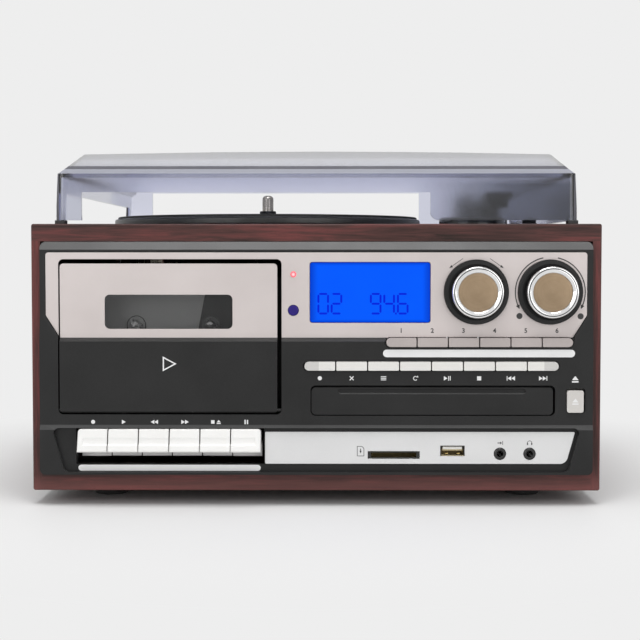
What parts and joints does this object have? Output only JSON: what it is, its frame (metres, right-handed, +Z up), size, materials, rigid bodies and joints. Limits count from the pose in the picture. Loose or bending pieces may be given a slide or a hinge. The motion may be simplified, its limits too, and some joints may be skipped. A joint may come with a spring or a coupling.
{
  "type": "music centre with cassette recorder",
  "caption": "table-top music centre in a dark wood box with a record deck under a smoked lid, cassette recorder, disc tray, dials and sockets",
  "frame": {"origin": "on the floor under the middle of the whole object, feet at zero height", "axes": "+Z up, -Y towards the front with the dials, +X to the viewer's right"},
  "size_m": [0.315, 0.319, 0.201],
  "materials": {
    "wood_vinyl": "satin printed wood grain",
    "black_plastic": "satin black",
    "silver_plate": "painted silver",
    "blue_display": "back-lit",
    "red_lens": "clear red",
    "dark_lens": "dark tinted",
    "clear_window": "tinted clear",
    "socket_metal": "nickel plated",
    "jack_black": "gloss black",
    "speaker_paper": "black paper and steel",
    "circuit_board": "green lacquer",
    "key_white": "moulded white",
    "button_silver": "painted silver",
    "chrome": "polished",
    "bronze": "spun",
    "platter_metal": "turned",
    "steel": "polished",
    "arm_metal": "painted silver",
    "rubber": "matt",
    "smoked_acrylic": "clear smoked"
  },
  "bodies": {
    "cabinet_body": {"cabinet": "wood_vinyl", "rear_cover": "black_plastic", "feet": "rubber", "front_fascia": "black_plastic", "upper_trim_plate": "silver_plate", "lower_trim_plate": "silver_plate", "display": "blue_display", "power_led": "red_lens", "remote_sensor_window": "dark_lens", "card_socket": "socket_metal", "usb_socket": "socket_metal", "audio_jacks": "jack_black", "speakers": "speaker_paper", "main_board": "circuit_board", "cassette_chassis": "black_plastic", "cd_drive": "black_plastic", "deck_plate": "black_plastic", "platter_motor": "steel", "drive_belt": "rubber", "lid_hinges": "black_plastic"},
    "lid": {"dust_cover": "smoked_acrylic", "lid_pads": "rubber"},
    "turntable": {"platter": "platter_metal", "platter_mat": "rubber", "record_spindle": "steel"},
    "pulley": {"motor_pulley": "platter_metal"},
    "arm_swivel": {"tonearm_yoke": "arm_metal"},
    "arm": {"tonearm": "arm_metal", "cartridge": "black_plastic"},
    "speed_slider": {"speed_switch": "black_plastic"},
    "tuning_dial": {"tuning_knob": "chrome", "tuning_knob_cap": "bronze"},
    "volume_dial": {"volume_knob": "chrome", "volume_knob_cap": "bronze"},
    "disc_tray": {"cd_tray": "black_plastic"},
    "tape_door": {"cassette_door": "black_plastic", "cassette_window": "clear_window"},
    "supply_reel": {"supply_spindle": "black_plastic"},
    "takeup_reel": {"takeup_spindle": "black_plastic"},
    "function_button_1_body": {"function_button_1": "button_silver"},
    "function_button_2_body": {"function_button_2": "button_silver"},
    "function_button_3_body": {"function_button_3": "button_silver"},
    "function_button_4_body": {"function_button_4": "button_silver"},
    "function_button_5_body": {"function_button_5": "button_silver"},
    "function_button_6_body": {"function_button_6": "button_silver"},
    "cd_button_1_body": {"cd_button_1": "button_silver"},
    "cd_button_2_body": {"cd_button_2": "button_silver"},
    "cd_button_3_body": {"cd_button_3": "button_silver"},
    "cd_button_4_body": {"cd_button_4": "button_silver"},
    "cd_button_5_body": {"cd_button_5": "button_silver"},
    "cd_button_6_body": {"cd_button_6": "button_silver"},
    "cd_button_7_body": {"cd_button_7": "button_silver"},
    "cd_button_8_body": {"cd_button_8": "button_silver"},
    "eject_button_body": {"eject_button": "button_silver"},
    "pause_key_body": {"pause_key": "key_white"},
    "stop_eject_key_body": {"stop_eject_key": "key_white"},
    "fast_forward_key_body": {"fast_forward_key": "key_white"},
    "rewind_key_body": {"rewind_key": "key_white"},
    "play_key_body": {"play_key": "key_white"},
    "record_key_body": {"record_key": "key_white"}
  },
  "joints": [
    {"name": "lid_hinge", "type": "hinge", "parent": "cabinet_body", "child": "lid", "pos_m": [0, 0.1541, 0.163], "axis": [-1, 0, 0], "range_deg": [0, 62]},
    {"name": "platter_spin", "type": "hinge", "parent": "cabinet_body", "child": "turntable", "pos_m": [-0.032, -0.0185, 0.1582], "axis": [0, 0, 1], "continuous": true},
    {"name": "pulley_spin", "type": "hinge", "parent": "cabinet_body", "child": "pulley", "pos_m": [-0.104, -0.0185, 0.1503], "axis": [0, 0, 1], "continuous": true},
    {"name": "arm_swing", "type": "hinge", "parent": "cabinet_body", "child": "arm_swivel", "pos_m": [0.108, 0.0945, 0.163], "axis": [0, 0, -1], "range_deg": [0, 34]},
    {"name": "arm_lift", "type": "hinge", "parent": "arm_swivel", "child": "arm", "pos_m": [0.108, 0.0945, 0.174], "axis": [-1, 0, 0], "range_deg": [0, 5]},
    {"name": "speed_select", "type": "slide", "parent": "cabinet_body", "child": "speed_slider", "axis": [0, 1, 0], "range_m": [0, 0.007]},
    {"name": "tuning_turn", "type": "hinge", "parent": "cabinet_body", "child": "tuning_dial", "pos_m": [0.08815, -0.1507, 0.11845], "axis": [0, 1, 0], "continuous": true},
    {"name": "volume_turn", "type": "hinge", "parent": "cabinet_body", "child": "volume_dial", "pos_m": [0.12875, -0.1507, 0.11845], "axis": [0, 1, 0], "range_deg": [0, 300]},
    {"name": "tray_slide", "type": "slide", "parent": "cabinet_body", "child": "disc_tray", "axis": [0, -1, 0], "range_m": [0, 0.125]},
    {"name": "tape_door_swing", "type": "hinge", "parent": "cabinet_body", "child": "tape_door", "pos_m": [-0.08125, -0.1495, 0.0533], "axis": [1, 0, 0], "range_deg": [0, 25]},
    {"name": "supply_spin", "type": "hinge", "parent": "cabinet_body", "child": "supply_reel", "pos_m": [-0.1025, -0.1215, 0.099], "axis": [0, -1, 0], "continuous": true},
    {"name": "takeup_spin", "type": "hinge", "parent": "cabinet_body", "child": "takeup_reel", "pos_m": [-0.06, -0.1215, 0.099], "axis": [0, -1, 0], "continuous": true},
    {"name": "function_button_1_press", "type": "slide", "parent": "cabinet_body", "child": "function_button_1_body", "axis": [0, 1, 0], "range_m": [0, 0.0012], "stiffness_N_per_m": 800},
    {"name": "function_button_2_press", "type": "slide", "parent": "cabinet_body", "child": "function_button_2_body", "axis": [0, 1, 0], "range_m": [0, 0.0012], "stiffness_N_per_m": 800},
    {"name": "function_button_3_press", "type": "slide", "parent": "cabinet_body", "child": "function_button_3_body", "axis": [0, 1, 0], "range_m": [0, 0.0012], "stiffness_N_per_m": 800},
    {"name": "function_button_4_press", "type": "slide", "parent": "cabinet_body", "child": "function_button_4_body", "axis": [0, 1, 0], "range_m": [0, 0.0012], "stiffness_N_per_m": 800},
    {"name": "function_button_5_press", "type": "slide", "parent": "cabinet_body", "child": "function_button_5_body", "axis": [0, 1, 0], "range_m": [0, 0.0012], "stiffness_N_per_m": 800},
    {"name": "function_button_6_press", "type": "slide", "parent": "cabinet_body", "child": "function_button_6_body", "axis": [0, 1, 0], "range_m": [0, 0.0012], "stiffness_N_per_m": 800},
    {"name": "cd_button_1_press", "type": "slide", "parent": "cabinet_body", "child": "cd_button_1_body", "axis": [0, 1, 0], "range_m": [0, 0.0012], "stiffness_N_per_m": 800},
    {"name": "cd_button_2_press", "type": "slide", "parent": "cabinet_body", "child": "cd_button_2_body", "axis": [0, 1, 0], "range_m": [0, 0.0012], "stiffness_N_per_m": 800},
    {"name": "cd_button_3_press", "type": "slide", "parent": "cabinet_body", "child": "cd_button_3_body", "axis": [0, 1, 0], "range_m": [0, 0.0012], "stiffness_N_per_m": 800},
    {"name": "cd_button_4_press", "type": "slide", "parent": "cabinet_body", "child": "cd_button_4_body", "axis": [0, 1, 0], "range_m": [0, 0.0012], "stiffness_N_per_m": 800},
    {"name": "cd_button_5_press", "type": "slide", "parent": "cabinet_body", "child": "cd_button_5_body", "axis": [0, 1, 0], "range_m": [0, 0.0012], "stiffness_N_per_m": 800},
    {"name": "cd_button_6_press", "type": "slide", "parent": "cabinet_body", "child": "cd_button_6_body", "axis": [0, 1, 0], "range_m": [0, 0.0012], "stiffness_N_per_m": 800},
    {"name": "cd_button_7_press", "type": "slide", "parent": "cabinet_body", "child": "cd_button_7_body", "axis": [0, 1, 0], "range_m": [0, 0.0012], "stiffness_N_per_m": 800},
    {"name": "cd_button_8_press", "type": "slide", "parent": "cabinet_body", "child": "cd_button_8_body", "axis": [0, 1, 0], "range_m": [0, 0.0012], "stiffness_N_per_m": 800},
    {"name": "eject_button_press", "type": "slide", "parent": "cabinet_body", "child": "eject_button_body", "axis": [0, 1, 0], "range_m": [0, 0.0012], "stiffness_N_per_m": 800},
    {"name": "pause_key_press", "type": "hinge", "parent": "cabinet_body", "child": "pause_key_body", "pos_m": [-0.0384, -0.1135, 0.03525], "axis": [1, 0, 0], "range_deg": [0, 8], "stiffness_Nm_per_rad": 0.5},
    {"name": "stop_eject_key_press", "type": "hinge", "parent": "cabinet_body", "child": "stop_eject_key_body", "pos_m": [-0.0553, -0.1135, 0.03525], "axis": [1, 0, 0], "range_deg": [0, 8], "stiffness_Nm_per_rad": 0.5},
    {"name": "fast_forward_key_press", "type": "hinge", "parent": "cabinet_body", "child": "fast_forward_key_body", "pos_m": [-0.0722, -0.1135, 0.03525], "axis": [1, 0, 0], "range_deg": [0, 8], "stiffness_Nm_per_rad": 0.5},
    {"name": "rewind_key_press", "type": "hinge", "parent": "cabinet_body", "child": "rewind_key_body", "pos_m": [-0.0891, -0.1135, 0.03525], "axis": [1, 0, 0], "range_deg": [0, 8], "stiffness_Nm_per_rad": 0.5},
    {"name": "play_key_press", "type": "hinge", "parent": "cabinet_body", "child": "play_key_body", "pos_m": [-0.106, -0.1135, 0.03525], "axis": [1, 0, 0], "range_deg": [0, 8], "stiffness_Nm_per_rad": 0.5},
    {"name": "record_key_press", "type": "hinge", "parent": "cabinet_body", "child": "record_key_body", "pos_m": [-0.1229, -0.1135, 0.03525], "axis": [1, 0, 0], "range_deg": [0, 8], "stiffness_Nm_per_rad": 0.5}
  ],
  "couplings": [
    {"joint": "pulley_spin", "follows": "platter_spin", "ratio": 8.2857}
  ]
}
